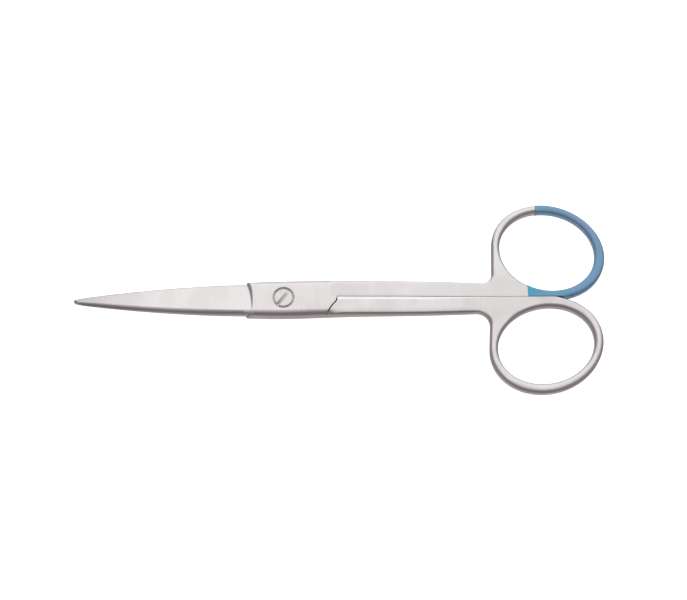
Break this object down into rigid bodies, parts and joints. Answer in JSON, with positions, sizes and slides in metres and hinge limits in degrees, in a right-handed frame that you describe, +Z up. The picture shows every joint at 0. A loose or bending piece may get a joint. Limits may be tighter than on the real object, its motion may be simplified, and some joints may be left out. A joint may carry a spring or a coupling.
{
  "type": "dissecting scissors",
  "caption": "Straight dissecting scissors with sharp tips, a flush slotted pivot screw, oval finger rings and a blue marking coat on part of one ring.",
  "frame": {"origin": "on the pivot axis, at the underside of the joint, which is the plane that the closed scissors rest on", "axes": "+X along the closed scissors from the tips to the finger rings, +Y towards the upper half's ring, +Z up through the pivot screw's head"},
  "size_m": [0.1308, 0.0487, 0.0044],
  "materials": {
    "satin_steel_lower": "satin ground",
    "satin_steel_upper": "satin ground",
    "screw_steel": "ground flush with the joint",
    "blue_lacquer": "semi-gloss lacquer"
  },
  "bodies": {
    "lower_body": {"lower_half": "satin_steel_lower", "pivot_screw": "screw_steel"},
    "upper_body": {"upper_half": "satin_steel_upper", "ring_colour_coat": "blue_lacquer"}
  },
  "joints": [
    {"name": "blade_pivot", "type": "hinge", "parent": "lower_body", "child": "upper_body", "pos_m": [0, 0, 0.0022], "axis": [0, 0, 1], "range_deg": [0, 130]}
  ]
}
